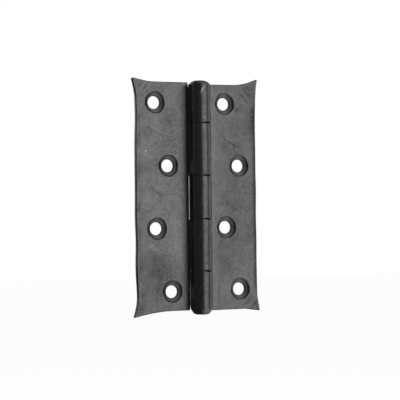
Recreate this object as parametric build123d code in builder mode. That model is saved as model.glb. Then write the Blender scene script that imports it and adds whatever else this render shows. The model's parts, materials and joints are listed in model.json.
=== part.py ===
from build123d import *
import os
from collections import namedtuple
from math import asin, sqrt, tan

# Butt hinge, lying open at 180 degrees, in millimetres.
# The origin is on the pin's axis at the leaves' mid-height. +Z runs up the pin, +X points
# across the frame leaf, and -Y is the side that the countersinks and the barrel face.

# Driving dimensions
hinge_height = 101.6
frame_reach = 30.8
door_reach = 30.2
plate = 2.0
pin_diameter = 6.0
pin_clearance = 0.05
knuckle_gap = 0.3
notch_clearance = 0.25
seam_gap = 0.35

# Heights of the four joints between the five knuckles, from the top down
knuckle_joints = (32.6, 9.15, -10.1, -33.2)
knuckle_edge_break = 0.2

# Barrel ends: the end knuckles stand past the leaves, and their rims are hammered to a bevel
top_overrun = 0.4
bottom_overrun = 1.35
bevel_width = 1.65
top_bevel_rise = 1.4
bottom_bevel_rise = 2.1

# Pin ends: peened out into a flared bore mouth, with a domed crown
mouth_flare = 0.25
mouth_depth = 0.5
pin_crown = 0.55

# Screw holes: four rows, each leaf's columns given from the top down as distances from the pin axis
screw_hole = 6.0
screw_head = 9.6
countersink_angle = 90
row_pitch = 27.9
frame_columns = (14.7, 21.9, 15.0, 21.8)
frame_row_lift = 0.18
door_columns = (20.7, 14.2, 20.2, 12.7)
door_row_lift = -0.34

# Flared outer corners, drawn out by the hammer: how far the blunt tip stands out past the side
# and past the end of the leaf, and how long the hollow curve is along the side and along the end
Flare = namedtuple("Flare", "out rise side_run end_run")
frame_top_flare = Flare(out=1.3, rise=2.65, side_run=4.4, end_run=9.4)
frame_bottom_flare = Flare(out=1.25, rise=1.0, side_run=5.6, end_run=5.4)
door_top_flare = Flare(out=1.6, rise=1.3, side_run=7.0, end_run=7.2)
door_bottom_flare = Flare(out=1.3, rise=2.2, side_run=4.8, end_run=15.0)
tip_blunt = 0.8
outline_round = 0.5

# Sizes that follow from the driving dimensions
pin_radius = pin_diameter / 2
bore_radius = pin_radius + pin_clearance
barrel_radius = bore_radius + plate
half_height = hinge_height / 2
top_end = half_height + top_overrun
bottom_end = -half_height - bottom_overrun
front_face = bore_radius
back_face = bore_radius + plate
notch_edge = sqrt((barrel_radius + notch_clearance) ** 2 - front_face**2)
seam_angle = asin((front_face - seam_gap) / barrel_radius)

FRONT = Plane.XZ.offset(-front_face)
BACK = Plane.XZ.offset(-back_face)


def knuckle_spans():
    """Lower and upper end of each knuckle, from the top down, with half a gap left at each joint."""
    ends = (top_end, *knuckle_joints, bottom_end)
    spans = []
    for upper, lower in zip(ends[:-1], ends[1:]):
        high = upper if upper == top_end else upper - knuckle_gap / 2
        low = lower if lower == bottom_end else lower + knuckle_gap / 2
        spans.append((low, high))
    return spans


def knuckle_outline(low, high):
    """Half section of one knuckle as (radius, height) points: its outer edges are broken,
    and an edge at the end of the barrel has the hammered bevel instead."""
    low_in, low_up = (bevel_width, bottom_bevel_rise) if low == bottom_end else (knuckle_edge_break,) * 2
    high_in, high_down = (bevel_width, top_bevel_rise) if high == top_end else (knuckle_edge_break,) * 2
    return [
        (0, low),
        (barrel_radius - low_in, low),
        (barrel_radius, low + low_up),
        (barrel_radius, high - high_down),
        (barrel_radius - high_in, high),
        (0, high),
    ]


def bore_outline():
    """Half section of the whole bore, flared at both mouths for the peened pin."""
    mouth = bore_radius + mouth_flare
    return [
        (0, bottom_end),
        (mouth, bottom_end),
        (bore_radius, bottom_end + mouth_depth),
        (bore_radius, top_end - mouth_depth),
        (mouth, top_end),
        (0, top_end),
    ]


def make_leaf(side, reach, knuckles, columns, row_lift, top_flare, bottom_flare):
    """One leaf with its rolled knuckles. side is +1 for the leaf that reaches along +X and -1 for
    the other, and knuckles holds the places of its own knuckles, counted from the top."""
    spans = [knuckle_spans()[place] for place in knuckles]
    side_edge = side * reach

    def corner(flare, up):
        """Where the flare leaves the side, its two tip points and where it leaves the end."""
        end_edge = up * half_height
        tip_out = side * (reach + flare.out)
        tip_up = up * (half_height + flare.rise)
        return (
            (side_edge, end_edge - up * flare.side_run),
            (tip_out, tip_up - up * tip_blunt),
            (tip_out - side * tip_blunt, tip_up),
            (side_edge - side * flare.end_run, end_edge),
        )

    with BuildPart() as leaf:
        # The flat of the leaf, from its notches to its side edge
        with BuildSketch(BACK):
            with BuildLine():
                low_side, low_tip_a, low_tip_b, low_end = corner(bottom_flare, -1)
                high_side, high_tip_a, high_tip_b, high_end = corner(top_flare, +1)
                Line((side * notch_edge, -half_height), low_end)
                TangentArc(low_end, low_tip_b, tangent=(side, 0))
                Line(low_tip_b, low_tip_a)
                TangentArc(low_side, low_tip_a, tangent=(0, -1))
                Line(low_side, high_side)
                TangentArc(high_side, high_tip_a, tangent=(0, 1))
                Line(high_tip_a, high_tip_b)
                TangentArc(high_end, high_tip_b, tangent=(side, 0))
                Line(high_end, (side * notch_edge, half_height))
                Line((side * notch_edge, half_height), (side * notch_edge, -half_height))
            make_face()
        extrude(amount=plate)

        # Soft front edge all round the flat, but not where the notches are
        front = leaf.faces().sort_by(Axis.Y)[0]
        from_notch_outwards = front.edges().sort_by(lambda edge: side * edge.center().X)
        fillet(from_notch_outwards[1:], radius=min(outline_round, plate / 2))

        # Tongues that lead from the flat into each knuckle, tangent to the back of the barrel
        for low, high in spans:
            with BuildSketch(BACK):
                tongue_low = max(low, -half_height)
                tongue_high = min(high, half_height)
                with Locations((side * notch_edge / 2, (tongue_low + tongue_high) / 2)):
                    Rectangle(notch_edge, tongue_high - tongue_low)
            extrude(amount=plate)

        # Rolled knuckles, full round first
        for low, high in spans:
            with BuildSketch(Plane.XZ):
                with BuildLine():
                    Polyline(*knuckle_outline(low, high), close=True)
                make_face()
            revolve(axis=Axis.Z)

        # The bore, and the open seam where the roll comes back to its own leaf
        with BuildSketch(Plane.XZ):
            with BuildLine():
                Polyline(*bore_outline(), close=True)
            make_face()
        revolve(axis=Axis.Z, mode=Mode.SUBTRACT)
        with BuildSketch(Plane.XY.offset(bottom_end)):
            with BuildLine():
                Polyline((0, 0), (side * front_face / tan(seam_angle), front_face), (0, front_face), close=True)
            make_face()
        extrude(amount=top_end - bottom_end, mode=Mode.SUBTRACT)

        # Countersunk screw holes, in a zigzag
        middle_row = (len(columns) - 1) / 2
        rows = [row_pitch * (middle_row - row) + row_lift for row in range(len(columns))]
        with Locations(FRONT):
            with Locations(*[(side * column, height) for column, height in zip(columns, rows)]):
                CounterSinkHole(screw_hole / 2, screw_head / 2, plate, countersink_angle)
    return leaf


def make_pin():
    """The pin: a plain shaft, flared at each end into its bore mouth, with a low crown."""
    rim = pin_radius + mouth_flare
    with BuildPart() as pin:
        with BuildSketch(Plane.XZ):
            with BuildLine():
                low_crown = (0, bottom_end - pin_crown)
                high_crown = (0, top_end + pin_crown)
                RadiusArc((rim, bottom_end), low_crown, (rim**2 + pin_crown**2) / (2 * pin_crown))
                Line((rim, bottom_end), (pin_radius, bottom_end + mouth_depth))
                Line((pin_radius, bottom_end + mouth_depth), (pin_radius, top_end - mouth_depth))
                Line((pin_radius, top_end - mouth_depth), (rim, top_end))
                RadiusArc(high_crown, (rim, top_end), (rim**2 + pin_crown**2) / (2 * pin_crown))
                Line(high_crown, low_crown)
            make_face()
        revolve(axis=Axis.Z)
    return pin


frame_leaf = make_leaf(
    +1, frame_reach, (0, 2, 4), frame_columns, frame_row_lift, frame_top_flare, frame_bottom_flare
)
door_leaf = make_leaf(
    -1, door_reach, (1, 3), door_columns, door_row_lift, door_top_flare, door_bottom_flare
)
hinge_pin = make_pin()

frame_leaf.part.label = "frame_leaf"
door_leaf.part.label = "door_leaf"
hinge_pin.part.label = "hinge_pin"

os.makedirs("parts", exist_ok=True)
export_step(frame_leaf.part, "parts/frame_leaf.step")
export_step(door_leaf.part, "parts/door_leaf.step")
export_step(hinge_pin.part, "parts/hinge_pin.step")
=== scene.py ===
"""Black butt hinge with hammered, flared leaves rolled round a fixed pin, and the light it is shown in."""

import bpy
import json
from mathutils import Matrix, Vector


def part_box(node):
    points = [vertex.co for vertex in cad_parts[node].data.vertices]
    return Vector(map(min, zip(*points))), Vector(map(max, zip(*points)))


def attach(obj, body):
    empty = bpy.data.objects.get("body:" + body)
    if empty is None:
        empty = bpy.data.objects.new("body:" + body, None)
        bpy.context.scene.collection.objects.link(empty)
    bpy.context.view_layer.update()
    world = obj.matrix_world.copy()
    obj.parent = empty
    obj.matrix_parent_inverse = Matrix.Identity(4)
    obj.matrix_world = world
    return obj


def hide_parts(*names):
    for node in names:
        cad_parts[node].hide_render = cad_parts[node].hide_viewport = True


bl_info = {
    "name": "Butt Hinge",
    "version": (1, 0, 0),
    "blender": (4, 5, 0),
    "location": "View3D > Sidebar > Hinge",
    "description": "Builds a hammered black butt hinge on its frame, and a white studio to show it in",
    "category": "Add Mesh",
}

import json
from collections import namedtuple
from math import asin, cos, pi, radians, sin, sqrt

import bpy
import numpy as np
from bpy.props import FloatProperty, FloatVectorProperty, PointerProperty
from mathutils import Matrix, Vector

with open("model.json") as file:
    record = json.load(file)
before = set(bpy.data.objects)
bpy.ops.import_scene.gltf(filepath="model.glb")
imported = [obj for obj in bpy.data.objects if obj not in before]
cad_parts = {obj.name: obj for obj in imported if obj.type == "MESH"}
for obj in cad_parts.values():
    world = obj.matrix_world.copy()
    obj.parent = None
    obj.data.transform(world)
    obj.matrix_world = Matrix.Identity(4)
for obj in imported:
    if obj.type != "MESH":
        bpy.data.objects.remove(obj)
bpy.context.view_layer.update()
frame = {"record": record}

# The shapes are worked out in millimetres in the frame of the CAD model, and meshes are in metres.
MM = 0.001
RECORD = frame["record"]
OPENINGS = {opening["name"]: opening for opening in RECORD["physics"]["openings"]}
MOUNTS = {mount["name"]: mount for mount in RECORD["mounts"]}
SCREW_RADIUS = MOUNTS["frame_inner_screws"]["dims"]["hole_r_mm"]
PIN_LOW, PIN_HIGH = (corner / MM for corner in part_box("hinge_pin"))
BARREL_RADIUS = -(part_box("frame_leaf")[0] / MM).y


def hex_to_linear(code):
    """Linear red, green and blue of an sRGB hex colour."""
    srgb = np.array([int(code[place : place + 2], 16) for place in (1, 3, 5)]) / 255
    linear = np.where(srgb <= 0.04045, srgb / 12.92, ((srgb + 0.055) / 1.055) ** 2.4)
    return tuple(float(value) for value in linear)


def size(name, millimetres, description):
    """A length that a user may change, shown in Blender's own units."""
    return FloatProperty(
        name=name, description=description, default=millimetres * MM, min=0, unit="LENGTH",
        subtype="DISTANCE",
    )


class HingeSizes(bpy.types.PropertyGroup):
    """The sizes that a user may change"""

    height: size("Leaf height", 101.6, "Height of both leaves, without their flared tips")
    plate: size("Plate", 2.0, "Thickness of the steel plate")
    frame_reach: size("Frame leaf reach", 31.0, "From the pin's axis to the frame leaf's side edge")
    door_reach: size(
        "Door leaf reach", 30.3, "From the pin's axis to the door leaf's side edge at mid-height"
    )
    knuckle_gap: size("Knuckle gap", 0.07, "Gap between one knuckle and the next")
    notch_clearance: size(
        "Notch clearance", 0.08, "Air between a leaf's notch and the other leaf's middle knuckle"
    )
    seam_gap: size("Seam gap", 0.35, "Gap where a rolled knuckle comes back to its own leaf")
    screw_head: size("Countersink", 9.6, "Diameter of the countersinks at the face of the leaf")
    pin_crown: size("Pin crown", 0.55, "How far the peened ends of the pin stand out")
    edge_round: size("Edge rounding", 0.24, "Radius of the soft edge round the face of each leaf")
    bevel_width: size("Barrel bevel", 1.65, "Width of the hammered bevel at each end of the barrel")
    ripple: size("Hammered ripple", 0.035, "Depth of the broad hammer dents in the leaves")
    mesh_step: size("Mesh step", 0.3, "Distance between the mesh's lines on a leaf")


class HingeFinish(bpy.types.PropertyGroup):
    """The colours and the sheen of the coat"""

    coat: FloatVectorProperty(
        name="Coat", description="Colour of the black powder coat", subtype="COLOR", size=3, min=0, max=1,
        default=hex_to_linear("#1b1c1d"),
    )
    coat_dark: FloatVectorProperty(
        name="Coat, dark", description="Colour of the coat where it lies thicker", subtype="COLOR", size=3,
        min=0, max=1, default=hex_to_linear("#161718"),
    )
    # Besides scuffed coat, this lighter colour paints light on the coat: lifted shade and painted
    # highlights
    rubbed_and_painted_light: FloatVectorProperty(
        name="Rubbed coat", description="Colour of the coat where it is rubbed or dusty", subtype="COLOR",
        size=3, min=0, max=1, default=hex_to_linear("#9a9b9d"),
    )
    cloudiness: FloatProperty(
        name="Cloudiness", description="How uneven the sheen of the coat is", default=0.45, min=0, max=1,
        subtype="FACTOR",
    )
    roughness: FloatProperty(
        name="Roughness", description="Roughness of the satin coat", default=0.29, min=0, max=1,
        subtype="FACTOR",
    )
    grain: size("Coat grain", 0.6, "Distance from one pimple of the powder coat to the next")
    grain_depth: size("Grain depth", 0.008, "Height of the powder coat's pimples")


class StageSettings(bpy.types.PropertyGroup):
    """The power of the lights and the colour of the floor"""

    key_power: FloatProperty(
        name="Key softbox", description="Power of the large softbox at the front right", default=7.8, min=0,
        unit="POWER",
    )
    side_power: FloatProperty(
        name="Side softbox", description="Power of the dimmer softbox at the right", default=1.4, min=0,
        unit="POWER",
    )
    overhead_power: FloatProperty(
        name="Overhead softbox", description="Power of the softbox above the hinge", default=1.3, min=0,
        unit="POWER",
    )
    back_power: FloatProperty(
        name="Back softbox", description="Power of the light that fills the back of the hinge", default=2.0,
        min=0, unit="POWER",
    )
    backdrop: FloatVectorProperty(
        name="Backdrop", description="Colour of the floor", subtype="COLOR", size=3, min=0, max=1,
        default=hex_to_linear("#f4f4f4"),
    )


# A flared corner: how far its tip stands out past the side and past the end of the leaf, how long
# the curve is along each of them, and the power of that curve: 1 is straight and 2 a parabola.
Flare = namedtuple("Flare", "out rise side_run end_run side_power end_power")

# A mark of the hammer's edge on a leaf's face, from one place to another (distance from the pin's
# axis, height), with its depth, its width on the steep side, how much wider it is on the gentle
# side (a minus sign puts that side below it), and how far its middle bends. Its floor has painted
# shade, as a duller sheen, and the ridge along its gentle side a painted highlight, as a lighter
# colour.
Mark = namedtuple("Mark", "start end depth width gentle bend")

# A patch of the coat that looks different from the rest, as an oval with soft edges: its middle
# (distance from the pin's axis, or along the roll below zero, and height), its half-lengths, how
# many degrees the first of them points up, and its strength. Above zero the coat is lighter in
# colour, and below zero it has less sheen, which makes it darker. The strips along and beside the
# barrel, the ovals on the top knuckle and the bands along the side edges are painted light and
# shade; the other patches are partly scuffs and partly painted light and shade.
Patch = namedtuple("Patch", "middle half_sizes slope strength")

# One leaf: which way it reaches, which knuckles it has counted from the top, how far its side edge
# bows out at mid-height and how far its face falls away there, how far its face rises towards the
# barrel, how its two ends run from the barrel to the corner, its flares, marks and patches.
Leaf = namedtuple("Leaf", (
    "name", "side", "body", "knuckles", "bow", "side_fall", "root_rise", "top_line", "bottom_line",
    "top_flare", "bottom_flare", "marks", "patches",
))

# Heights of the joints between the five knuckles, from the top down, and of the barrel's bevels
KNUCKLE_JOINTS = (32.6, 9.15, -10.1, -33.2)
BEVEL_RISE = {"top": 1.4, "bottom": 2.3}

# Roundings: of the leaves' square corners and of any edge of the steel, and what is added to that
# on a leaf's back edge and on a knuckle's edge at a joint, on the barrel's right, and how much
# farther a knuckle's edge falls away there
TIP_ROUND = 0.7
EDGE_BREAK = 0.07
BACK_EDGE_ROUND = 0.19
JOINT_ROUND = 0.30
JOINT_FALL = 0.2

# The hammered outline: how far out from the pin it starts to wave, how far the side edge and the
# ends wave, where an end's slant is measured, as distances from the pin, and how far from the end
# it is felt, and how much a notch is tightened beside an end knuckle and opened at its very end
WAVE_START = 8.0
SIDE_WAVE = 0.05
END_WAVE = 0.015
SLANT_PLACES = (0, 5, 22)
SLANT_DEPTH = 8.0
NOTCH_TIGHTENING = 0.11
NOTCH_OPENING = 0.24

# The face: the shortest and longest ripple, how wide the fall at the side edge is, and how much the
# plate is thinned at a drawn-out tip and how far from it
RIPPLE_LENGTHS = (9, 40)
SIDE_FALL_WIDTH = 3.2
TIP_THINNING = 0.35
TIP_THINNING_REACH = 7

# The barrel: depth of its ripple, and of the hollow behind a knuckle's root
BARREL_RIPPLE = 0.02
ROOT_HOLLOW = 0.22

# The screw holes: how much coat and burr narrow them, how deep the cone goes, how far its soft lip
# reaches out, how much of the grid round a countersink gives way to rings, and how many rings
HOLE_NARROWING = 0.2
CONE_DEPTH = 1.62
LIP = 0.22
RING_MARGIN = 1.3
RING_COUNT = 6

# The pin: air between it and the bore, length of its flared ends, and depth of the hammer's waves
PIN_CLEARANCE = 0.05
PIN_FLARE = 0.5
PIN_WAVE = 0.05

FRAME_LEAF = Leaf(
    name="frame_leaf", side=1, body="frame_side", knuckles=(0, 2, 4), bow=0.0, side_fall=0.45,
    root_rise=0.0,
    top_line=(-0.33, 0.22), bottom_line=(0.2, 0.0),
    top_flare=Flare(1.55, 3.15, 6.9, 11.2, 1.6, 1.8),
    bottom_flare=Flare(1.45, 1.0, 6.2, 6.6, 1.2, 1.1),
    marks=(
        Mark((12.6, 28.0), (22.8, 22.5), 0.10, 0.34, 3.0, 0.5),
        Mark((14.2, -1.5), (25.7, -9.0), 0.05, 0.36, 3.0, 0.3),
        Mark((10.7, -26.3), (23.0, -34.2), 0.06, 0.34, 3.0, 0.5),
        Mark((21.9, 48.8), (27.5, 43.1), 0.07, 0.34, 2.2, 0.3),
        Mark((24.5, 50.0), (29.0, 45.6), 0.05, 0.32, 2.0, 0.2),
        Mark((22.7, -50.6), (29.0, -43.5), 0.065, 0.34, -2.4, 0.3),
        Mark((25.4, -49.4), (29.3, -44.5), 0.06, 0.32, -2.2, 0.2),
        Mark((28.0, -50.5), (30.5, -47.5), 0.07, 0.32, -2.2, 0.0),
    ),
    patches=(
        Patch((6.0, 0.0), (3.0, 70.0), 0, 0.13),
        Patch((20.0, -42.0), (9.0, 7.0), 0, 0.08),
        Patch((10.0, 10.0), (2.4, 22.0), 0, 0.09),
        Patch((10.5, -38.0), (3.0, 6.0), 0, 0.06),
        Patch((25.4, -39.0), (3.0, 4.0), 0, 0.09),
        # Painted shade: a dark band along the side edge
        Patch((29.4, 35.5), (2.2, 8.0), 0, -0.50),
        Patch((26.0, 33.0), (2.6, 5.0), 0, -0.16),
        Patch((26.5, -18.5), (2.5, 5.0), 0, -0.20),
        Patch((17.0, 38.0), (4.0, 3.0), 0, 0.08),
        Patch((22.5, 44.5), (2.5, 2.5), 0, 0.08),
        # Painted light: a lighter strip on the barrel's left flank that lifts the shade between barrel and
        # door leaf
        Patch((-5.5, 0.0), (2.6, 300.0), 0, 0.27),
        Patch((20.5, 6.0), (11.0, 45.0), 0, -0.26),
        # Painted shade: a duller strip down the barrel's front that dims its highlight
        Patch((-15.5, 0.0), (7.0, 300.0), 0, -0.18),
        # Painted shade: a dull spot low on the barrel's lit side
        Patch((-17.6, -43.0), (1.3, 7.0), 0, -0.35),
        Patch((10.7, -43.5), (5.0, 0.6), 90, -0.30),
        Patch((13.5, -44.0), (3.0, 0.6), 90, -0.10),
        Patch((26.0, 48.5), (3.6, 3.2), -45, -0.30),
        Patch((21.1, 39.1), (1.1, 1.1), 0, -0.30),
        Patch((12.4, -27.0), (2.6, 8.5), 0, -0.18),
        Patch((23.1, -31.5), (4.0, 6.0), 0, 0.05),
        Patch((23.8, -32.7), (2.9, 0.4), -45, 0.07),
        Patch((25.6, 46.3), (3.3, 0.35), -38, 0.14),
        Patch((28.9, 50.4), (1.9, 0.35), -30, 0.14),
        Patch((17.0, 27.5), (5.5, 1.0), -30, 0.05),
        # Painted highlight: two bright ovals high on the top knuckle
        Patch((-14.5, 46.8), (1.5, 0.34), 112, 0.85),
        Patch((-15.0, 47.7), (0.7, 0.40), 112, 0.40),
    ),
)
DOOR_LEAF = Leaf(
    name="door_leaf", side=-1, body="door_side", knuckles=(1, 3), bow=0.5, side_fall=0.0, root_rise=0.42,
    top_line=(0.3, -0.05), bottom_line=(-0.12, 0.0),
    top_flare=Flare(1.95, 1.6, 7.7, 6.9, 1.75, 1.3),
    bottom_flare=Flare(1.9, 2.55, 6.2, 18.2, 1.7, 2.1),
    marks=(
        Mark((25.4, 31.4), (15.5, 26.9), 0.07, 0.34, 3.0, 0.4),
        Mark((15.8, 26.7), (10.8, 24.8), 0.02, 0.36, 3.0, 0.0),
        Mark((23.0, 3.8), (15.2, -0.4), 0.04, 0.34, 3.0, 0.3),
        Mark((28.2, -5.5), (22.8, -7.0), 0.04, 0.32, 3.0, 0.0),
        Mark((21.5, -21.7), (16.0, -24.9), 0.05, 0.34, 3.0, 0.2),
        Mark((25.2, -23.0), (20.0, -25.3), 0.05, 0.34, 3.0, 0.2),
        Mark((26.9, 46.0), (23.7, 50.0), 0.15, 0.32, -2.4, -0.2),
        Mark((27.5, 43.4), (23.4, 47.2), 0.09, 0.32, -2.2, 0.0),
        Mark((29.0, 47.2), (26.8, 50.4), 0.10, 0.30, -2.2, 0.0),
    ),
    patches=(
        # Painted shade: a duller strip down the barrel's front that dims its highlight
        Patch((-15.5, 0.0), (7.0, 300.0), 0, -0.18),
        # Painted light: a lighter strip on the barrel's left flank that lifts the shade between barrel and
        # this leaf
        Patch((-26.3, 0.0), (2.6, 300.0), 0, 0.27),
        # Painted light: a lighter strip on this leaf's face beside the barrel, in the barrel's shade
        Patch((5.6, 0.0), (1.2, 300.0), 0, 0.12),
        Patch((25.5, 18.4), (3.8, 0.5), 20, 0.10),
        Patch((26.2, -5.0), (3.5, 0.6), 30, 0.10),
        Patch((20.5, 4.4), (2.4, 0.5), 30, 0.10),
        Patch((23.2, -22.2), (2.4, 1.0), 28, 0.12),
        Patch((18.5, -24.2), (3.2, 0.5), 20, 0.12),
        Patch((25.5, 19.9), (0.4, 0.4), 0, 0.7),
        Patch((18.5, -32.0), (8.5, 4.2), 35, -0.28),
        Patch((21.0, -38.0), (8.0, 6.5), 20, -0.26),
        Patch((11.5, -27.5), (4.5, 1.2), 55, 0.04),
        Patch((12.8, -29.5), (2.5, 3.5), 0, -0.12),
        Patch((24.5, -1.2), (3.0, 2.6), 0, 0.10),
        Patch((23.3, -10.0), (3.0, 2.5), 0, 0.08),
        Patch((19.5, -42.5), (3.0, 3.5), 0, -0.22),
        Patch((17.7, 47.0), (4.0, 2.5), 0, -0.18),
        Patch((27.8, 25.0), (1.5, 4.0), 0, 0.08),
        Patch((21.5, -27.5), (4.5, 2.0), 30, -0.20),
        Patch((9.8, -18.6), (3.0, 11.0), 0, 0.10),
        Patch((14.1, 28.6), (3.4, 8.5), 0, -0.14),
        # Painted shade: darker spots along the side edge
        Patch((29.2, 34.7), (1.1, 2.4), 0, -0.30),
        Patch((29.1, 24.4), (1.1, 4.0), 0, -0.30),
        Patch((29.0, 11.3), (1.1, 5.0), 0, -0.30),
        Patch((29.1, -4.7), (1.0, 3.5), 0, -0.30),
        Patch((29.0, -17.8), (1.0, 4.0), 0, -0.30),
        Patch((28.7, -30.2), (1.1, 5.0), 0, -0.30),
        Patch((27.7, -43.3), (1.1, 2.5), 0, -0.30),
    ),
)


def ease(value):
    """The smooth step: 3 v squared less 2 v cubed, with v held between 0 and 1."""
    held = np.clip(value, 0, 1)
    return held * held * (3 - 2 * held)


def spread(start, stop, step):
    """Evenly spaced values from start to stop, both included, about one step apart."""
    return np.linspace(start, stop, max(3, int(round(abs(stop - start) / step)) + 1))


class Plate:
    """The sizes of the plate and the barrel in millimetres, read from the panel's properties."""

    def __init__(self, sizes):
        self.thickness = sizes.plate / MM
        if not 0 < self.thickness < BARREL_RADIUS:
            raise ValueError("the plate has to be thinner than the barrel's radius")
        self.half_height = sizes.height / MM / 2
        self.bore = BARREL_RADIUS - self.thickness
        self.edge_round = sizes.edge_round / MM
        self.bevel_width = sizes.bevel_width / MM
        self.head_radius = sizes.screw_head / MM / 2
        self.hole_radius = SCREW_RADIUS - HOLE_NARROWING
        self.ripple = sizes.ripple / MM
        self.step = sizes.mesh_step / MM
        self.crown = sizes.pin_crown / MM
        self.top_end = PIN_HIGH.z - self.crown
        self.bottom_end = PIN_LOW.z + self.crown
        self.reach = {"frame_leaf": sizes.frame_reach / MM, "door_leaf": sizes.door_reach / MM}
        clear = BARREL_RADIUS + sizes.notch_clearance / MM
        self.notch_edge = sqrt(clear**2 - self.bore**2)
        seam_angle = asin((self.bore - sizes.seam_gap / MM) / BARREL_RADIUS)
        self.roll_length = BARREL_RADIUS * (3 * pi / 2 + seam_angle)
        half_gap = sizes.knuckle_gap / MM / 2
        tops = (self.half_height, *(joint - half_gap for joint in KNUCKLE_JOINTS))
        bottoms = (*(joint + half_gap for joint in KNUCKLE_JOINTS), -self.half_height)
        self.knuckles = list(zip(bottoms, tops))


def fold(across, height, depth, side, plate):
    """Folds the developed plate. A point of the flat stays at its distance across from the pin's
    axis and at its depth behind the leaf's face. Past the axis the plate is rolled: the distance
    becomes an angle, arc length over the barrel's radius, and the depth becomes a radius, the
    bore's plus the depth, so that the face of the leaf is inside and its back is the barrel."""
    angle = np.maximum(-across, 0) / BARREL_RADIUS
    radius = plate.bore + depth
    x = np.where(across > 0, across, -radius * np.sin(angle))
    y = radius * np.cos(angle)
    return np.stack(np.broadcast_arrays(side * x, y, height), axis=-1)


def outline(across, height, leaf, plate):
    """The hammered outline. The square corners are rounded by the square-to-circle rule. The side
    edge bows out by a parabola, with a cosine along it, and waves as two sines. The ends run along
    a slanting line with a sine on it. Each flare adds its reach times the share of its run to a
    power, fading into the leaf in proportion. An end knuckle is longer than its leaf, and beside
    the other leaf's end knuckle the notch is a little tighter, but opens at its very end, both by
    smooth steps."""
    reach, half = plate.reach[leaf.name], plate.half_height
    across, height = across.copy(), height.copy()
    for sign in (1, -1):
        over = np.clip(1 - (reach - across) / TIP_ROUND, 0, 1)
        up = np.clip(1 - (half - sign * height) / TIP_ROUND, 0, 1)
        across += TIP_ROUND * over * (np.sqrt(1 - up * up / 2) - 1)
        height += sign * TIP_ROUND * up * (np.sqrt(1 - over * over / 2) - 1)

    flat, tall = across.copy(), height.copy()
    near_side = ease((flat - WAVE_START) / (reach - WAVE_START))
    wave = SIDE_WAVE * np.sin(tall / 3.1 + leaf.side) + SIDE_WAVE * np.sin(tall / 5.3)
    crest, wavelength = 20.6, 26.8
    along_bow = 0.24 * np.cos(2 * pi * (tall - crest) / wavelength) - (tall / half) ** 2
    across += near_side * (wave + leaf.bow * along_bow)
    for sign, line, flare in (
        (1, leaf.top_line, leaf.top_flare),
        (-1, leaf.bottom_line, leaf.bottom_flare),
    ):
        near_end = np.clip(1 - (half - sign * tall) / SLANT_DEPTH, 0, 1)
        slant = np.interp(flat, SLANT_PLACES, (0, *line))
        end_wave = END_WAVE * np.sin(flat / 1.9 + 2 * sign) * ease(flat / WAVE_START)
        height += sign * near_end * (slant + end_wave)
        side_share = np.clip(1 - (half - sign * tall) / flare.side_run, 0, 1)
        end_share = np.clip(1 - (reach - flat) / flare.end_run, 0, 1)
        across += flare.out * side_share**flare.side_power * end_share
        height += sign * flare.rise * end_share**flare.end_power * side_share

    for place, sign, end in ((0, 1, plate.top_end), (4, -1, -plate.bottom_end)):
        if place in leaf.knuckles:
            low, high = plate.knuckles[place]
            share = np.clip((sign * tall - min(sign * low, sign * high)) / (high - low), 0, 1)
            height += sign * (end - half) * share * ease(-flat / 3)
        else:
            near_pin = 1 - ease((flat - plate.notch_edge) / 4)
            opens = NOTCH_OPENING * ease((sign * tall - 48) / (half - 48))
            tightens = NOTCH_TIGHTENING * ease((sign * tall - 20) / 8)
            across += (opens - tightens) * near_pin
    return across, height


def open_edges(faces):
    """The directed edges of a mesh of quads that only one face has."""
    edges = np.concatenate([faces[:, [corner, (corner + 1) % 4]] for corner in range(4)])
    low, high = edges.min(axis=1), edges.max(axis=1)
    _, first, count = np.unique(low * (faces.max() + 1) + high, return_index=True, return_counts=True)
    return edges[first[count == 1]]


def mitres(points, edges):
    """For each point on the open edges, the vector that moves both of its edges outwards by one:
    the sum of their unit normals, divided by one plus their product, which is held at 0.4 or more.
    Elsewhere it is zero."""
    along = points[edges[:, 1]] - points[edges[:, 0]]
    normal = np.stack([-along[:, 1], along[:, 0]], axis=1)
    normal /= np.linalg.norm(normal, axis=1)[:, None]
    leaving, arriving = np.zeros_like(points), np.zeros_like(points)
    leaving[edges[:, 0]] = normal
    arriving[edges[:, 1]] = normal
    product = (leaving * arriving).sum(axis=1)
    return (leaving + arriving) / np.maximum(1 + product, 0.4)[:, None]


def spread_inwards(move, fixed, used, rounds=60):
    """Spreads the moves of the fixed points over the grid: each free point takes the mean of its
    neighbours' moves, again and again, so that the lines near an edge close up evenly."""
    later, earlier, every = slice(1, None), slice(None, -1), slice(None)
    neighbours = (
        ((later, every), (earlier, every)), ((earlier, every), (later, every)),
        ((every, later), (every, earlier)), ((every, earlier), (every, later)),
    )
    free = used & ~fixed
    weight = used[..., None].astype(float)
    for _ in range(rounds):
        total, count = np.zeros_like(move), np.zeros_like(weight)
        for here, there in neighbours:
            total[here] += (move * weight)[there]
            count[here] += weight[there]
        move = np.where(free[..., None], total / np.maximum(count, 1), move)
    return move


def ripples(across, height, seed, shortest, longest):
    """Broad, shallow unevenness between about -1 and 1: a sum of sine waves that run in every
    direction, with lengths from the shortest to the longest and the longer ones deeper."""
    chance = np.random.default_rng(seed)
    total, weight = 0, 0
    for length in np.geomspace(shortest, longest, 12):
        heading, phase = chance.uniform(0, 2 * pi, 2)
        wave = np.sin(2 * pi * (across * cos(heading) + height * sin(heading)) / length + phase)
        total = total + wave * length
        weight += length**2
    return total / sqrt(weight)


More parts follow.
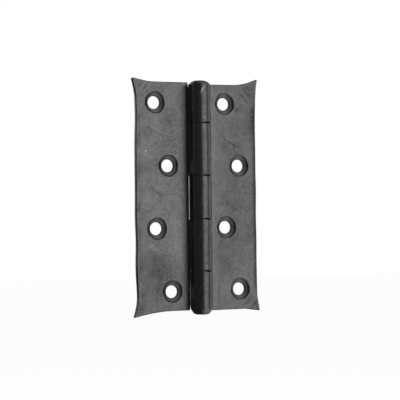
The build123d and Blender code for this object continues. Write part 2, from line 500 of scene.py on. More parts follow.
def beside_mark(across, height, mark):
    """Strength of a mark at each point, a half sine to the power 0.6 between its ends, and the
    distance from its bent line in steep-side widths, above zero on the gentle side."""
    start, end = np.array(mark.start), np.array(mark.end)
    run = end - start
    length = np.hypot(*run)
    unit = run / length
    unit_up = np.array([-unit[1], unit[0]]) * np.sign(unit[0])
    share = np.clip(((across - start[0]) * unit[0] + (height - start[1]) * unit[1]) / length, 0, 1)
    off = (across - start[0]) * unit_up[0] + (height - start[1]) * unit_up[1]
    off = (off + 4 * mark.bend * share * (1 - share)) * np.sign(mark.gentle)
    return np.sin(pi * share) ** 0.6, off / mark.width


def mark_depth(across, height, mark):
    """The groove that the edge of a hammer leaves: a bell curve across its line, narrow on one side
    and wide on the other, that comes up out of the face towards both ends."""
    strength, off = beside_mark(across, height, mark)
    return mark.depth * strength * np.exp(-((off / np.where(off > 0, abs(mark.gentle), 1)) ** 2))


def face_dents(across, height, leaf, plate):
    """How far the face of the flat lies below the plate's nominal face: the hammered ripple, the
    marks, a fall to the side edge as a square, fading near the corners, and a thinning towards
    each drawn-out tip as a smooth step. All these die away before the plate is rolled. The face
    also lies lower beside the barrel than at it, by one less an exponential of the distance, and
    comes back up by mid-leaf."""
    flat = ease((across - plate.notch_edge) / 3)
    depth = plate.ripple * (ripples(across, height, 3 + leaf.side, *RIPPLE_LENGTHS) + 0.4)
    for mark in leaf.marks:
        depth = depth + mark_depth(across, height, mark)
    reach, half = plate.reach[leaf.name], plate.half_height
    fall = leaf.side_fall * np.clip(1 - (reach - across) / SIDE_FALL_WIDTH, 0, 1) ** 2
    depth = depth + fall * (1 - 0.85 * ease((abs(height) - 38) / 8))
    for sign in (1, -1):
        nearness = np.hypot(reach + 1 - across, half + 1.5 - sign * height)
        depth = depth + TIP_THINNING * ease(1 - nearness / TIP_THINNING_REACH)
    off_root = np.maximum(across - plate.notch_edge, 0)
    below_root = leaf.root_rise * (1 - np.exp(-off_root / 2.6)) * (1 - ease((across - 9) / 16))
    return flat * depth + below_root


def shine(across, height, leaf):
    """How much lighter the coat is than elsewhere, or below zero how much duller: partly scuffs, and
    partly painted light and shade. It is the sum of the leaf's patches, each a bell curve over an
    oval, less a bell curve over the floor of each mark, which is painted shade, and with a fainter
    one along its ridge, which is a painted highlight."""
    total = 0 * across
    for patch in leaf.patches:
        turn = radians(patch.slope)
        off, up = across - patch.middle[0], height - patch.middle[1]
        along = (off * cos(turn) + up * sin(turn)) / patch.half_sizes[0]
        aside = (up * cos(turn) - off * sin(turn)) / patch.half_sizes[1]
        total = total + patch.strength * np.exp(-(along**2) - aside**2)
    for mark in leaf.marks:
        strength, off = beside_mark(across, height, mark)
        ridge = 0.8 if mark.gentle > 0 else 0.4
        total = total - 5 * mark.depth * strength * np.exp(-((off + 0.5) ** 2))
        total = total + ridge * mark.depth * strength * np.exp(-((off - 2) ** 2))
    return total


def barrel_dents(across, height):
    """How far the outside of a rolled knuckle lies below its nominal radius: a slight ripple, and a
    shallow hollow behind its root, where the other leaf's notch comes when the hinge swings back."""
    rolled = ease(-across / 3)
    root = ease((across + 6) / 4) * ease((3.4 - across) / 1.4)
    return rolled * BARREL_RIPPLE * (1 + ripples(across, height, 11, 6, 26)) + ROOT_HOLLOW * root


def hole_places(leaf):
    """Centres of the leaf's screw holes as (distance from the pin's axis, height), from the top down."""
    prefix = leaf.name.split("_")[0] + "_screw_hole_"
    boxes = [OPENINGS[name]["box_m"] for name in sorted(OPENINGS) if name.startswith(prefix)]
    if not boxes:
        raise RuntimeError(f"the record has no screw holes for {leaf.name}")
    centres = np.array(boxes).mean(axis=1) / MM
    return np.stack([abs(centres[:, 0]), centres[:, 2]], axis=1)


# A screw hole in the grid: its centre, the points round its square, the unit vectors from the
# centre through them, and the numbers of the points on each ring from the square to the circle
Hole = namedtuple("Hole", "centre border spoke rings")

# An edge of the leaf at each point of the grid: radius of the rounding of the face and of the back,
# how far the back's rounding drops into the plate and the power of its curve, how much of a
# barrel's bevel it is, how much painted shade its coat has as a duller sheen, and how much
# painted highlight its bevel has as a lighter colour
Edge = namedtuple("Edge", "face_round back_round back_drop power bevel shine wear")


class Shell:
    """A closed surface while it is put together: its points, the finish of each of them (its painted
    light and scuffs, which below zero are painted shade as a duller sheen, and its wear and painted
    highlights as a lighter colour) and its quads."""

    def __init__(self):
        self.points, self.finish, self.quads = [], [], []
        self.count = 0

    def add(self, points, painted_light_and_scuff_values, painted_highlight_and_wear_values):
        """Adds a sheet or a ring of points and returns their numbers."""
        self.points.append(points)
        self.finish.append(np.stack([painted_light_and_scuff_values, painted_highlight_and_wear_values], axis=1))
        self.count += len(points)
        return np.arange(self.count - len(points), self.count)

    def join(self, rings, here, after):
        """Joins each ring to the next by quads, each from one place on the ring to the one after."""
        for near, far in zip(rings[:-1], rings[1:]):
            self.quads.append(np.stack([far[here], far[after], near[after], near[here]], axis=1))

    def arrays(self):
        """All points, quads and finish as one array each."""
        return np.concatenate(self.points), np.concatenate(self.quads), np.concatenate(self.finish)


def leaf_grid(leaf, plate):
    """The grid of one developed leaf: its lines across, from the side edge over the tongues and
    round the roll, its lines up, with one at each end of a knuckle, and which cells between them
    are steel: all of the flat, and of the rest those where this leaf has its knuckles."""
    own = sorted(plate.knuckles[place] for place in leaf.knuckles)
    breaks = sorted({-plate.half_height, plate.half_height, *(end for span in own for end in span)})
    runs = [spread(low, high, plate.step) for low, high in zip(breaks[:-1], breaks[1:])]
    up_lines = np.concatenate([runs[0][:1], *(run[1:] for run in runs)])
    flat = spread(plate.reach[leaf.name], plate.notch_edge, plate.step)
    tongue = spread(plate.notch_edge, 0, plate.step)
    roll = spread(0, -plate.roll_length, plate.step * 2)
    across_lines = np.concatenate([flat, tongue[1:], roll[1:]])

    middle_up = (up_lines[1:] + up_lines[:-1]) / 2
    has_knuckle = np.zeros(len(middle_up), bool)
    for low, high in own:
        has_knuckle |= (middle_up > low) & (middle_up < high)
    cells = np.ones((len(across_lines) - 1, len(up_lines) - 1), bool)
    cells[len(flat) - 1 :] = has_knuckle
    return across_lines, up_lines, cells


def leaf_edge(across, leaf, plate):
    """How the edge would be made at each point of the grid, blended by smooth steps. On the flat it
    is softer than on the tongues, and on the roll softer still where the barrel faces right, which
    is a sine of the roll's angle. At the ends of the barrel it is the hammered bevel, and the lower
    one has a painted highlight in a bell curve over its front. Along the flat's outer edges, round
    the roll and on the bevels the coat has painted shade as a duller sheen, a little less at the
    door leaf's side edge."""
    outer = ease((across - plate.notch_edge) / 5)
    rolled = ease(-across / 2.5)
    rightwards = -leaf.side * np.sin(np.maximum(-across, 0) / BARREL_RADIUS)
    joint = rolled * ease((rightwards + 0.6) / 0.8)
    left_side = (leaf.side < 0) * ease((across - plate.reach[leaf.name] + 0.5) / 0.5)
    face_round = EDGE_BREAK + (plate.edge_round - EDGE_BREAK) * outer
    back_round = EDGE_BREAK + BACK_EDGE_ROUND * outer + JOINT_ROUND * joint
    back_drop = back_round + JOINT_FALL * joint
    # Painted shade: a duller sheen along the rounded edges, which darkens the outer edges and the knuckles'
    # joints
    painted_light_and_scuff_values = (0.4 * left_side - 0.9) * outer - rolled
    power, bevel, painted_highlight_and_wear_values = 2 - 0.8 * joint, np.zeros_like(across), np.zeros_like(across)
    for place, line, rise, rubbed_and_painted_light in (
        (0, -1, BEVEL_RISE["top"], 0),
        (4, 0, BEVEL_RISE["bottom"], 0.35),
    ):
        if place in leaf.knuckles:
            share = rolled[:, line]
            back_round[:, line] += (rise - back_round[:, line]) * share
            back_drop[:, line] += (plate.bevel_width - back_drop[:, line]) * share
            power[:, line] = 2 - 0.85 * share
            # Painted shade: the bevels' sheen is duller, which darkens their reflection of the floor
            painted_light_and_scuff_values[:, line] = -0.9 * share + painted_light_and_scuff_values[:, line] * (1 - share)
            bevel[:, line] = share
            # Painted highlight: the lower bevel is lighter in a bell curve over its front
            painted_highlight_and_wear_values[:, line] = rubbed_and_painted_light * np.exp(-(((rightwards[:, line] + 0.05) / 0.32) ** 2))
    values = (face_round, back_round, back_drop, power, bevel, painted_light_and_scuff_values, painted_highlight_and_wear_values)
    return Edge(*(value.ravel() for value in values))


def cut_holes(cells, ids, across_lines, up_lines, points, leaf, plate):
    """Takes a square of cells out of the grid round each screw hole, and numbers the rings of
    points that lead from the square to the circle."""
    holes, next_id = [], ids.size
    half_square = int(round((plate.head_radius + RING_MARGIN) / plate.step))
    for centre in hole_places(leaf):
        i = int(np.argmin(abs(across_lines - centre[0])))
        j = int(np.argmin(abs(up_lines - centre[1])))
        i0, i1, j0, j1 = i - half_square, i + half_square, j - half_square, j + half_square
        cells[i0:i1, j0:j1] = False
        border = np.concatenate([ids[i0:i1, j0], ids[i1, j0:j1], ids[i1:i0:-1, j1], ids[i0, j1:j0:-1]])
        own_ids = next_id + np.arange(RING_COUNT * len(border)).reshape(RING_COUNT, -1)
        next_id += own_ids.size
        spoke = points[border] - centre
        spoke /= np.linalg.norm(spoke, axis=1)[:, None]
        holes.append(Hole(centre, border, spoke, np.vstack([border, own_ids])))
    return holes


def out_of_round(hole):
    """How far the edge of a hand-cut countersink stands out of round: two waves round the hole."""
    angle = np.arctan2(hole.spoke[:, 1], hole.spoke[:, 0])
    return 0.08 * np.sin(3 * angle + hole.centre[0]) + 0.06 * np.sin(7 * angle + hole.centre[1])


def with_rings(sheet, holes, radius, unevenness):
    """The points of a sheet and of the rings in its screw holes. The rings lie at even shares of the
    way from the square to a circle of this radius, which is out of round by a share of the rim's
    unevenness: 1 on the face and 0 on the back."""
    rows = [sheet]
    for hole in holes:
        reach = radius + unevenness * out_of_round(hole)
        circle = hole.centre + reach[:, None] * hole.spoke
        share = np.linspace(0, 1, len(hole.rings))[1:, None, None]
        rows.append((sheet[hole.border] * (1 - share) + circle * share).reshape(-1, 2))
    return np.concatenate(rows)


def add_rim(shell, points, mitre, edge, rim_edges, back_start, leaf, plate):
    """Closes the open edges between the face and the back: a quarter round off the face, a straight
    side, and to the back a quarter of a superellipse, which is a round of power 2 or, at the ends
    of the barrel, a nearly straight bevel."""
    thick = plate.thickness
    rim = np.unique(rim_edges)
    points, mitre = points[rim], mitre[rim]
    edge = Edge(*(value[rim] for value in edge))
    profile = []
    for turn in np.linspace(0, pi / 2, 5)[1:]:
        profile.append((-edge.face_round * (1 - sin(turn)), edge.face_round * (1 - cos(turn)), 1))
    for turn in np.linspace(0, pi / 2, 6)[:-1]:
        inward = 1 - cos(turn) ** (2 / edge.power)
        drop = 1 - sin(turn) ** (2 / edge.power)
        plain = 1 - edge.bevel * sin(turn) ** 0.5
        profile.append((-edge.back_round * inward, thick - edge.back_drop * drop, plain))
    face_dent = face_dents(*points.T, leaf, plate)
    back_dent = barrel_dents(*points.T)
    rings = [rim]
    for offset, depth, plain in profile:
        place = points + mitre * offset[:, None]
        depth = depth + face_dent * (1 - depth / thick) - back_dent * depth / thick
        folded = fold(*place.T, depth, leaf.side, plate)
        rings.append(shell.add(folded, edge.shine * plain, edge.wear * (1 - plain)))
    rings.append(rim + back_start)
    first, second = np.searchsorted(rim, rim_edges).T
    shell.join(rings, second, first)


def countersink_profile(plate):
    """Radius and depth of each ring of a countersink, from the face to the back: a soft lip, the
    straight cone, a short land and a broken edge at the back."""
    head, hole = plate.head_radius, plate.hole_radius
    profile = [(head + 0.10, 0.02), (head + 0.01, 0.07), (head - 0.10, 0.15)]
    for share in np.linspace(0.1, 0.97, 5):
        profile.append((head - share * (head - hole), share * CONE_DEPTH + 0.04))
    profile += [(hole, CONE_DEPTH + 0.06), (hole, CONE_DEPTH + 0.14), (hole + 0.08, plate.thickness - 0.06)]
    return profile


def countersink_finish(spoke, side, depth, plate):
    """Painted light and shade round a countersink at one depth. The cone has painted highlights, as a
    lighter colour, above and below the hole, and on the right in a bell curve half-way down. It has
    painted shade, as a duller sheen, in proportion to its height, to the square of how far it faces
    sideways, on the left, and at the hole's edge, and so does the lip where the light from above on
    the left doesn't reach it."""
    inner = depth / plate.thickness
    on_cone = min(4 * inner, 1) * (depth < CONE_DEPTH + 0.05)
    upright = abs(spoke[:, 1]) ** 1.5
    rightward = np.maximum(side * spoke[:, 0], 0)
    leftward = np.maximum(-side * spoke[:, 0], 0)
    lit = np.maximum(0.9 * spoke[:, 1] - 0.45 * side * spoke[:, 0], 0)
    half_way = np.exp(-(((inner - 0.5) / 0.2) ** 2))
    painted_highlight_and_wear_values = on_cone * (0.22 * upright + 0.2 * rightward * half_way)
    by_hole = (1 - upright) * ease((inner - 0.5) / 0.3)
    dull_and_painted_shade = -0.4 * (1 - inner) - 0.5 * spoke[:, 0] ** 2 * (1 - 0.5 * inner) - 0.3 * leftward
    dull_and_painted_shade = dull_and_painted_shade * (1 - 0.5 * lit * (1 - on_cone)) - 0.5 * (1 - on_cone) * (1 - lit) - 0.55 * by_hole
    return dull_and_painted_shade, painted_highlight_and_wear_values


def add_countersinks(shell, holes, back_start, leaf, plate):
    """Closes each screw hole between the face and the back by the countersink's profile, turned
    round its centre. The rim is out of round, and that fades in proportion down to the hole."""
    head, narrow, thick = plate.head_radius, plate.hole_radius, plate.thickness
    for hole in holes:
        lip_dent = face_dents(*(hole.centre + head * hole.spoke).T, leaf, plate)
        uneven = out_of_round(hole)
        rings = [hole.rings[-1]]
        for radius, depth in countersink_profile(plate):
            reach = radius + uneven * max(radius - narrow, 0) / (head - narrow)
            place = hole.centre + reach[:, None] * hole.spoke
            folded = fold(*place.T, depth + lip_dent * (1 - depth / thick), leaf.side, plate)
            rings.append(shell.add(folded, *countersink_finish(hole.spoke, leaf.side, depth, plate)))
        rings.append(hole.rings[-1] + back_start)
        here = np.arange(len(hole.border))
        shell.join(rings, here, np.roll(here, -1))


def leaf_mesh(leaf, plate):
    """Points, quads and finish of one leaf. The developed plate is a grid of lines across and up
    it, with the notches left out and a ring of spokes in each screw hole's square. It is laid
    twice, as face and as back, each drawn in at its edges for their rounding. The open edges
    between the two and the screw holes are closed, and the whole is folded round the pin. Only the
    barrel's part of the back has painted light and scuffs of its own."""
    across_lines, up_lines, cells = leaf_grid(leaf, plate)
    grid_across, grid_up = np.meshgrid(across_lines, up_lines, indexing="ij")
    ids = np.arange(grid_across.size).reshape(grid_across.shape)
    around = np.pad(cells, 1)
    used = around[1:, 1:] | around[:-1, 1:] | around[1:, :-1] | around[:-1, :-1]
    every_cell = np.stack([ids[:-1, :-1], ids[1:, :-1], ids[1:, 1:], ids[:-1, 1:]], axis=-1)
    rim_edges = open_edges(every_cell[cells])
    fixed = np.isin(ids, rim_edges)

    across, up = outline(grid_across, grid_up, leaf, plate)
    points = np.stack([across.ravel(), up.ravel()], axis=1)
    mitre = mitres(points, rim_edges)
    edge = leaf_edge(grid_across, leaf, plate)
    holes = cut_holes(cells, ids, across_lines, up_lines, points, leaf, plate)
    sheets = []
    for rounding, radius, unevenness in (
        (edge.face_round, plate.head_radius + LIP, 1),
        (edge.back_round, SCREW_RADIUS, 0),
    ):
        move = (-mitre * rounding[:, None]).reshape(*ids.shape, 2)
        drawn_in = points + spread_inwards(move, fixed, used).reshape(-1, 2)
        sheets.append(with_rings(drawn_in, holes, radius, unevenness))
    face, back = sheets

    faces = [every_cell[cells]]
    for hole in holes:
        after = np.roll(hole.rings, -1, axis=1)
        quads = np.stack([hole.rings[:-1], after[:-1], after[1:], hole.rings[1:]], axis=-1)
        faces.append(quads.reshape(-1, 4))
    faces = np.concatenate(faces)

    shell = Shell()
    on_barrel = ease(-back[:, 0] / 2)
    for sheet, depth, painted_light_and_scuff_values in (
        (face, face_dents(*face.T, leaf, plate), shine(*face.T, leaf)),
        (back, plate.thickness - barrel_dents(*back.T), shine(*back.T, leaf) * on_barrel),
    ):
        shell.add(fold(*sheet.T, depth, leaf.side, plate), painted_light_and_scuff_values, np.maximum(painted_light_and_scuff_values, 0))
    shell.quads += [faces[:, ::-1], faces + len(face)]
    add_rim(shell, points, mitre, edge, rim_edges, len(face), leaf, plate)
    add_countersinks(shell, holes, len(face), leaf, plate)
    return shell.arrays()


def pin_mesh(plate):
    """Points, quads and finish of the pin, and its two end faces: a profile of radii and heights
    turned round the axis. Its ends are peened out into the mouths of the bore, with an ellipse for
    a crown. The hammer has left low waves there, a product of two sines, and a dull coat."""
    rim, shaft = PIN_HIGH.x, plate.bore - PIN_CLEARANCE
    crown = [(rim * sqrt(1 - share**2), plate.crown * share) for share in np.linspace(0, 1, 9)[:-1]]
    low = [(radius, plate.bottom_end - rise) for radius, rise in reversed(crown)]
    high = [(radius, plate.top_end + rise) for radius, rise in crown]
    shaft_lines = spread(plate.bottom_end + PIN_FLARE, plate.top_end - PIN_FLARE, 2.0)
    profile = np.array(low + [(shaft, height) for height in shaft_lines] + high)
    turns = np.linspace(0, 2 * pi, 64, endpoint=False)
    radius = profile[:, 0][:, None] * np.ones(len(turns))
    height = profile[:, 1][:, None] * np.ones(len(turns))
    x, y = radius * np.cos(turns), radius * np.sin(turns)
    at_end = np.abs(height) > plate.half_height
    upwards = np.sign(height)
    waves = 1 + np.sin(2.1 * x + 0.6) * np.sin(1.7 * y + 0.3 * upwards)
    height = height - upwards * at_end * PIN_WAVE * waves
    points = np.stack([x, y, height], axis=-1).reshape(-1, 3)
    finish = np.stack([-0.8 * at_end, 0.0 * at_end], axis=-1).reshape(-1, 2)
    ids = np.arange(len(points)).reshape(radius.shape)
    after = np.roll(ids, -1, axis=1)
    quads = np.stack([ids[:-1], after[:-1], after[1:], ids[1:]], axis=-1).reshape(-1, 4)
    return points, quads, finish, (ids[0][::-1], ids[-1])


def new_object(name, points, quads, finish, material, end_faces=()):
    """A smooth-shaded object at the origin from points in millimetres, quads and any faces with
    more corners. Points that no quad uses are dropped. Edges that turn by more than 40 degrees
    stay crisp."""
    kept, corners = np.unique(quads, return_inverse=True)
    faces = corners.reshape(quads.shape).tolist()
    faces += [np.searchsorted(kept, face).tolist() for face in end_faces]
    mesh = bpy.data.meshes.new(name)
    mesh.from_pydata(points[kept] * MM, [], faces)
    mesh.materials.append(material)
    mesh.shade_smooth()
    mesh.set_sharp_from_angle(angle=radians(40))
    mesh.update()
    for attribute, values in zip(("shine", "wear"), finish[kept].astype(np.float32).T):
        mesh.attributes.new(attribute, "FLOAT", "POINT").data.foreach_set("value", values.copy())
    thing = bpy.data.objects.new(name, mesh)
    bpy.context.scene.collection.objects.link(thing)
    return thing


def add_node(tree, kind, settings=None, inputs=None):
    """Adds one node, gives it its settings, and sets its inputs by name or place: to a value, or
    linked to a socket or to the first output of another node."""
    node = tree.nodes.new(kind)
    for name, value in (settings or {}).items():
        setattr(node, name, value)
    for name, value in (inputs or {}).items():
        source = value.outputs[0] if isinstance(value, bpy.types.Node) else value
        if isinstance(source, bpy.types.NodeSocket):
            tree.links.new(source, node.inputs[name])
        else:
            node.inputs[name].default_value = source
    return node


def powder_coated_steel(name, coat):
    """Satin black powder coat on hammered steel plate. The powder was sprayed and baked, which
    leaves a fine pimpled skin, slightly cloudy where it lay thicker. Its real pimples are finer
    than the photograph shows, so they are drawn as coarse as they need to be to show. Where the
    mesh's first attribute is below zero the coat's sheen is duller, which is painted shade, and the
    second makes it lighter, partly as scuffed coat and partly as painted light."""
    material = bpy.data.materials.new(name)
    material.use_nodes = True
    tree = material.node_tree
    tree.nodes.clear()
    place = add_node(tree, "ShaderNodeTexCoord").outputs["Object"]
    painted_light_and_scuff_values = add_node(tree, "ShaderNodeAttribute", {"attribute_name": "shine"}).outputs["Fac"]
    painted_highlight_and_wear_values = add_node(tree, "ShaderNodeAttribute", {"attribute_name": "wear"}).outputs["Fac"]

    # Clouds about 7 mm across, mottling of 2 mm and the pimples of the skin, each around zero
    patterns = []
    for length, detail in ((7 * MM, 2.0), (2 * MM, 1.0), (coat.grain, 1.0)):
        spots = add_node(tree, "ShaderNodeTexNoise", inputs={
            "Vector": place, "Scale": 1 / length, "Detail": detail, "Roughness": 0.55})
        patterns.append(add_node(tree, "ShaderNodeMath", {"operation": "SUBTRACT"}, {
            0: spots.outputs["Fac"], 1: 0.5}))
    clouds, mottling, pimples = patterns

    # The specular level is 0.5 give or take the patterns, less what the painted shade takes off it
    broad = add_node(tree, "ShaderNodeMath", {"operation": "ADD"}, {0: clouds, 1: mottling})
    grain = add_node(tree, "ShaderNodeMath", {"operation": "MULTIPLY"}, {0: pimples, 1: 1.3})
    uneven = add_node(tree, "ShaderNodeMath", {"operation": "MULTIPLY_ADD"}, {0: broad, 1: 0.6, 2: grain})
    below = add_node(tree, "ShaderNodeMath", {"operation": "MINIMUM"}, {0: painted_light_and_scuff_values, 1: 0.0})
    dull_and_painted_shade = add_node(tree, "ShaderNodeMath", {"operation": "MULTIPLY"}, {0: below, 1: 0.5})
    change = add_node(tree, "ShaderNodeMath", {"operation": "MULTIPLY_ADD"}, {
        0: uneven, 1: coat.cloudiness, 2: dull_and_painted_shade})
    wanted = add_node(tree, "ShaderNodeMath", {"operation": "ADD"}, {0: change, 1: 0.5})
    level = add_node(tree, "ShaderNodeMath", {"operation": "MAXIMUM"}, {0: wanted, 1: 0.0})

    thicker = add_node(tree, "ShaderNodeMath", {"operation": "ADD"}, {0: clouds, 1: 0.5})
    black = add_node(tree, "ShaderNodeMix", {"data_type": "RGBA"}, {
        0: thicker, 6: (*coat.coat, 1), 7: (*coat.coat_dark, 1)})
    # The lighter colour is partly scuffed coat and partly painted light: lifted shade and painted
    # highlights
    colour = add_node(tree, "ShaderNodeMix", {"data_type": "RGBA"}, {
        0: painted_highlight_and_wear_values, 6: black.outputs[2], 7: (*coat.rubbed_and_painted_light, 1)})
    skin = add_node(tree, "ShaderNodeBump", inputs={
        "Height": pimples, "Strength": 1.0, "Distance": coat.grain_depth})
    surface = add_node(tree, "ShaderNodeBsdfPrincipled", inputs={
        "Base Color": colour.outputs[2], "Roughness": coat.roughness, "IOR": 1.5,
        "Specular IOR Level": level, "Normal": skin})
    add_node(tree, "ShaderNodeOutputMaterial", inputs={"Surface": surface})
    return material


def white_floor(colour):
    """Matt white studio paper. The camera sees it nearly as white as the backdrop, and it keeps
    the shadow that the hinge throws on it. In the hinge's sheen it glows as a painted reflection
    of light, bright on the right and dim on the left."""
    material = bpy.data.materials.new("matt white studio paper")
    material.use_nodes = True
    tree = material.node_tree
    tree.nodes.clear()
    ray = add_node(tree, "ShaderNodeLightPath").outputs
    mirror = add_node(tree, "ShaderNodeMath", {"operation": "MAXIMUM"}, {
        0: ray["Is Glossy Ray"], 1: ray["Is Transmission Ray"]})
    place = add_node(tree, "ShaderNodeTexCoord").outputs["Object"]
    parts = add_node(tree, "ShaderNodeSeparateXYZ", inputs={0: place})
    lit = add_node(tree, "ShaderNodeMapRange", {"interpolation_type": "SMOOTHSTEP"}, {
        "Value": parts.outputs["X"], "From Min": 0.005, "From Max": 0.06, "To Min": 0.06, "To Max": 0.95})
    mirrored = add_node(tree, "ShaderNodeMath", {"operation": "MULTIPLY"}, {0: mirror, 1: lit})
    strength = add_node(tree, "ShaderNodeMath", {"operation": "MAXIMUM"}, {
        0: ray["Is Camera Ray"], 1: mirrored})
    direct = add_node(tree, "ShaderNodeMath", {"operation": "MULTIPLY"}, {0: ray["Is Camera Ray"], 1: 0.97})
    share = add_node(tree, "ShaderNodeMath", {"operation": "MAXIMUM"}, {0: direct, 1: mirror})
    paper = add_node(tree, "ShaderNodeBsdfDiffuse", inputs={"Color": (*colour, 1)})
    glow = add_node(tree, "ShaderNodeEmission", inputs={"Color": (1, 1, 1, 1), "Strength": strength})
    both = add_node(tree, "ShaderNodeMixShader", inputs={0: share, 1: paper, 2: glow})
    add_node(tree, "ShaderNodeOutputMaterial", inputs={"Surface": both})
    return material


def studio_world():
    """White behind the hinge, where the camera and mirror-like surfaces see it, and a dim room
    that lights the hinge from all round."""
    world = bpy.data.worlds.new("white studio")
    bpy.context.scene.world = world
    world.use_nodes = True
    tree = world.node_tree
    tree.nodes.clear()
    ray = add_node(tree, "ShaderNodeLightPath").outputs
    direction = add_node(tree, "ShaderNodeTexCoord").outputs["Generated"]
    parts = add_node(tree, "ShaderNodeSeparateXYZ", inputs={0: direction})
    behind = add_node(tree, "ShaderNodeMapRange", inputs={
        "Value": parts.outputs["Y"], "From Min": -0.1, "From Max": 0.3, "To Min": 0.0, "To Max": 1.0})
    low = add_node(tree, "ShaderNodeMapRange", inputs={
        "Value": parts.outputs["Z"], "From Min": 0.25, "From Max": 0.5, "To Min": 1.0, "To Max": 0.0})
    low_behind = add_node(tree, "ShaderNodeMath", {"operation": "MULTIPLY"}, {0: behind, 1: low})
    mirror = add_node(tree, "ShaderNodeMath", {"operation": "MAXIMUM"}, {
        0: ray["Is Glossy Ray"], 1: ray["Is Transmission Ray"]})
    mirrored = add_node(tree, "ShaderNodeMath", {"operation": "MULTIPLY"}, {0: mirror, 1: low_behind})
    white = add_node(tree, "ShaderNodeMath", {"operation": "MAXIMUM"}, {
        0: ray["Is Camera Ray"], 1: mirrored})
    colour = add_node(tree, "ShaderNodeMix", {"data_type": "RGBA"}, {
        0: white, 6: (0.175, 0.175, 0.18, 1), 7: (1, 1, 1, 1)})
    room = add_node(tree, "ShaderNodeBackground", inputs={"Color": colour.outputs[2], "Strength": 1.0})
    add_node(tree, "ShaderNodeOutputWorld", inputs={"Surface": room})


def softbox(name, direction, distance, width, height, power):
    """A rectangular light that faces the origin from a direction given as degrees to the right of
    the leaves' normal and degrees above level."""
    right, above = (radians(value) for value in direction)
    way = Vector((sin(right) * cos(above), -cos(right) * cos(above), sin(above)))
    light = bpy.data.lights.new(name, "AREA")
    light.shape = "RECTANGLE"
    light.size = width
    light.size_y = height
    light.energy = power
    box = bpy.data.objects.new(name, light)
    box.location = way * distance
    box.rotation_euler = way.to_track_quat("Z", "Y").to_euler()
    bpy.context.scene.collection.objects.link(box)


# The photograph's camera, fitted to the screw holes and corners in its frame of 400 pixels
CAMERA_LEFT, CAMERA_BELOW, CAMERA_ROLL = radians(29.07), radians(2.05), radians(0.67)
CAMERA_DISTANCE = 0.6702
FRAME_PIXELS = 400
FOCAL_PIXELS = 1505
ORIGIN_PIXEL = (200.49, 196.29)
SENSOR_WIDTH = 36.0


def place_camera():
    """Looks along the fitted line of sight at the pin's middle, with the small shift and roll that
    put it where the photograph has it."""
    ahead = cos(CAMERA_BELOW)
    sight = Vector((sin(CAMERA_LEFT) * ahead, cos(CAMERA_LEFT) * ahead, sin(CAMERA_BELOW)))
    level = Vector((cos(CAMERA_LEFT), -sin(CAMERA_LEFT), 0))
    upright = level.cross(sight)
    right = level * cos(CAMERA_ROLL) - upright * sin(CAMERA_ROLL)
    up = level * sin(CAMERA_ROLL) + upright * cos(CAMERA_ROLL)
    turn = Matrix((right, up, -sight)).transposed().to_4x4()
    camera = bpy.data.objects.new("camera", bpy.data.cameras.new("camera"))
    camera.matrix_world = Matrix.Translation(-sight * CAMERA_DISTANCE) @ turn
    camera.data.sensor_width = SENSOR_WIDTH
    camera.data.lens = SENSOR_WIDTH * FOCAL_PIXELS / FRAME_PIXELS
    camera.data.shift_x = (FRAME_PIXELS / 2 - ORIGIN_PIXEL[0]) / FRAME_PIXELS
    camera.data.shift_y = (ORIGIN_PIXEL[1] - FRAME_PIXELS / 2) / FRAME_PIXELS
    camera.data.clip_start = 0.01
    bpy.context.scene.collection.objects.link(camera)
    bpy.context.scene.camera = camera


# Half the width of the square floor, and its height
FLOOR_REACH = 6.0
FLOOR_LEVEL = -0.16


def lay_floor(colour):
    """The square of white paper that the hinge stands over."""
    signs = ((-1, -1), (1, -1), (1, 1), (-1, 1))
    corners = [(x * FLOOR_REACH, y * FLOOR_REACH, FLOOR_LEVEL) for x, y in signs]
    mesh = bpy.data.meshes.new("floor")
    mesh.from_pydata(corners, [], [(0, 1, 2, 3)])
    mesh.materials.append(white_floor(colour))
    floor = bpy.data.objects.new("floor", mesh)
    bpy.context.scene.collection.objects.link(floor)


class HINGE_OT_leaves(bpy.types.Operator):
    """Build both leaves with their rolled knuckles"""

    bl_idname = "hinge.leaves"
    bl_label = "Leaves"

    def execute(self, context):
        plate = Plate(context.scene.hinge_sizes)
        coat = powder_coated_steel("satin black powder-coated steel plate", context.scene.hinge_finish)
        for leaf in (FRAME_LEAF, DOOR_LEAF):
            points, quads, finish = leaf_mesh(leaf, plate)
            outwards = quads if leaf.side > 0 else quads[:, ::-1]
            piece = new_object(leaf.name + "_plate", points, outwards, finish, coat)
            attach(piece, leaf.body)
            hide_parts(leaf.name)
        return {"FINISHED"}


class HINGE_OT_pin(bpy.types.Operator):
    """Build the peened pin"""

    bl_idname = "hinge.pin"
    bl_label = "Pin"

    def execute(self, context):
        points, quads, finish, ends = pin_mesh(Plate(context.scene.hinge_sizes))
        coat = powder_coated_steel("satin black powder-coated steel pin", context.scene.hinge_finish)
        piece = new_object("hinge_pin_peened", points, quads, finish, coat, ends)
        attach(piece, "frame_side")
        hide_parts("hinge_pin")
        return {"FINISHED"}


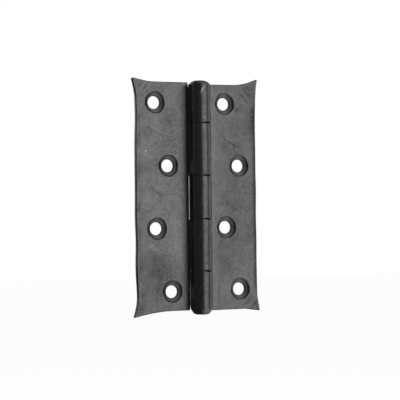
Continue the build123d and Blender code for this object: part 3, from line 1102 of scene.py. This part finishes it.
class HINGE_OT_stage(bpy.types.Operator):
    """Set up the white floor, the softboxes and the camera"""

    bl_idname = "hinge.stage"
    bl_label = "Stage"

    def execute(self, context):
        settings = context.scene.hinge_stage
        context.scene.view_settings.view_transform = "Standard"
        studio_world()
        place_camera()
        softbox("key softbox", (23, 5), 0.8, width=0.71, height=0.95, power=settings.key_power)
        softbox("side softbox", (82, 10), 0.8, width=0.55, height=0.9, power=settings.side_power)
        softbox("overhead softbox", (85, 64), 0.8, width=0.6, height=0.6, power=settings.overhead_power)
        softbox("back softbox", (200, 30), 1.0, width=0.9, height=0.9, power=settings.back_power)
        lay_floor(settings.backdrop)
        return {"FINISHED"}


class HINGE_PT_panel(bpy.types.Panel):
    """The hinge's sizes, finish and stage, and a button for each operator"""

    bl_idname = "HINGE_PT_panel"
    bl_label = "Butt Hinge"
    bl_space_type = "VIEW_3D"
    bl_region_type = "UI"
    bl_category = "Hinge"

    def draw(self, context):
        scene = context.scene
        for group in (scene.hinge_sizes, scene.hinge_finish, scene.hinge_stage):
            box = self.layout.box()
            for name in group.__annotations__:
                box.prop(group, name)
        for operator in (HINGE_OT_leaves, HINGE_OT_pin, HINGE_OT_stage):
            self.layout.operator(operator.bl_idname)


CLASSES = (
    HingeSizes, HingeFinish, StageSettings, HINGE_OT_leaves, HINGE_OT_pin, HINGE_OT_stage, HINGE_PT_panel,
)


def register():
    """Registers the classes and gives the scene the three groups of settings."""
    for item in CLASSES:
        bpy.utils.register_class(item)
    bpy.types.Scene.hinge_sizes = PointerProperty(type=HingeSizes)
    bpy.types.Scene.hinge_finish = PointerProperty(type=HingeFinish)
    bpy.types.Scene.hinge_stage = PointerProperty(type=StageSettings)


def unregister():
    """Takes away what register added, in the opposite order."""
    del bpy.types.Scene.hinge_stage
    del bpy.types.Scene.hinge_finish
    del bpy.types.Scene.hinge_sizes
    for item in reversed(CLASSES):
        bpy.utils.unregister_class(item)


def main():
    """Builds everything in order."""
    register()
    bpy.ops.hinge.leaves()
    bpy.ops.hinge.pin()
    bpy.ops.hinge.stage()


if __name__ == "__main__":
    main()
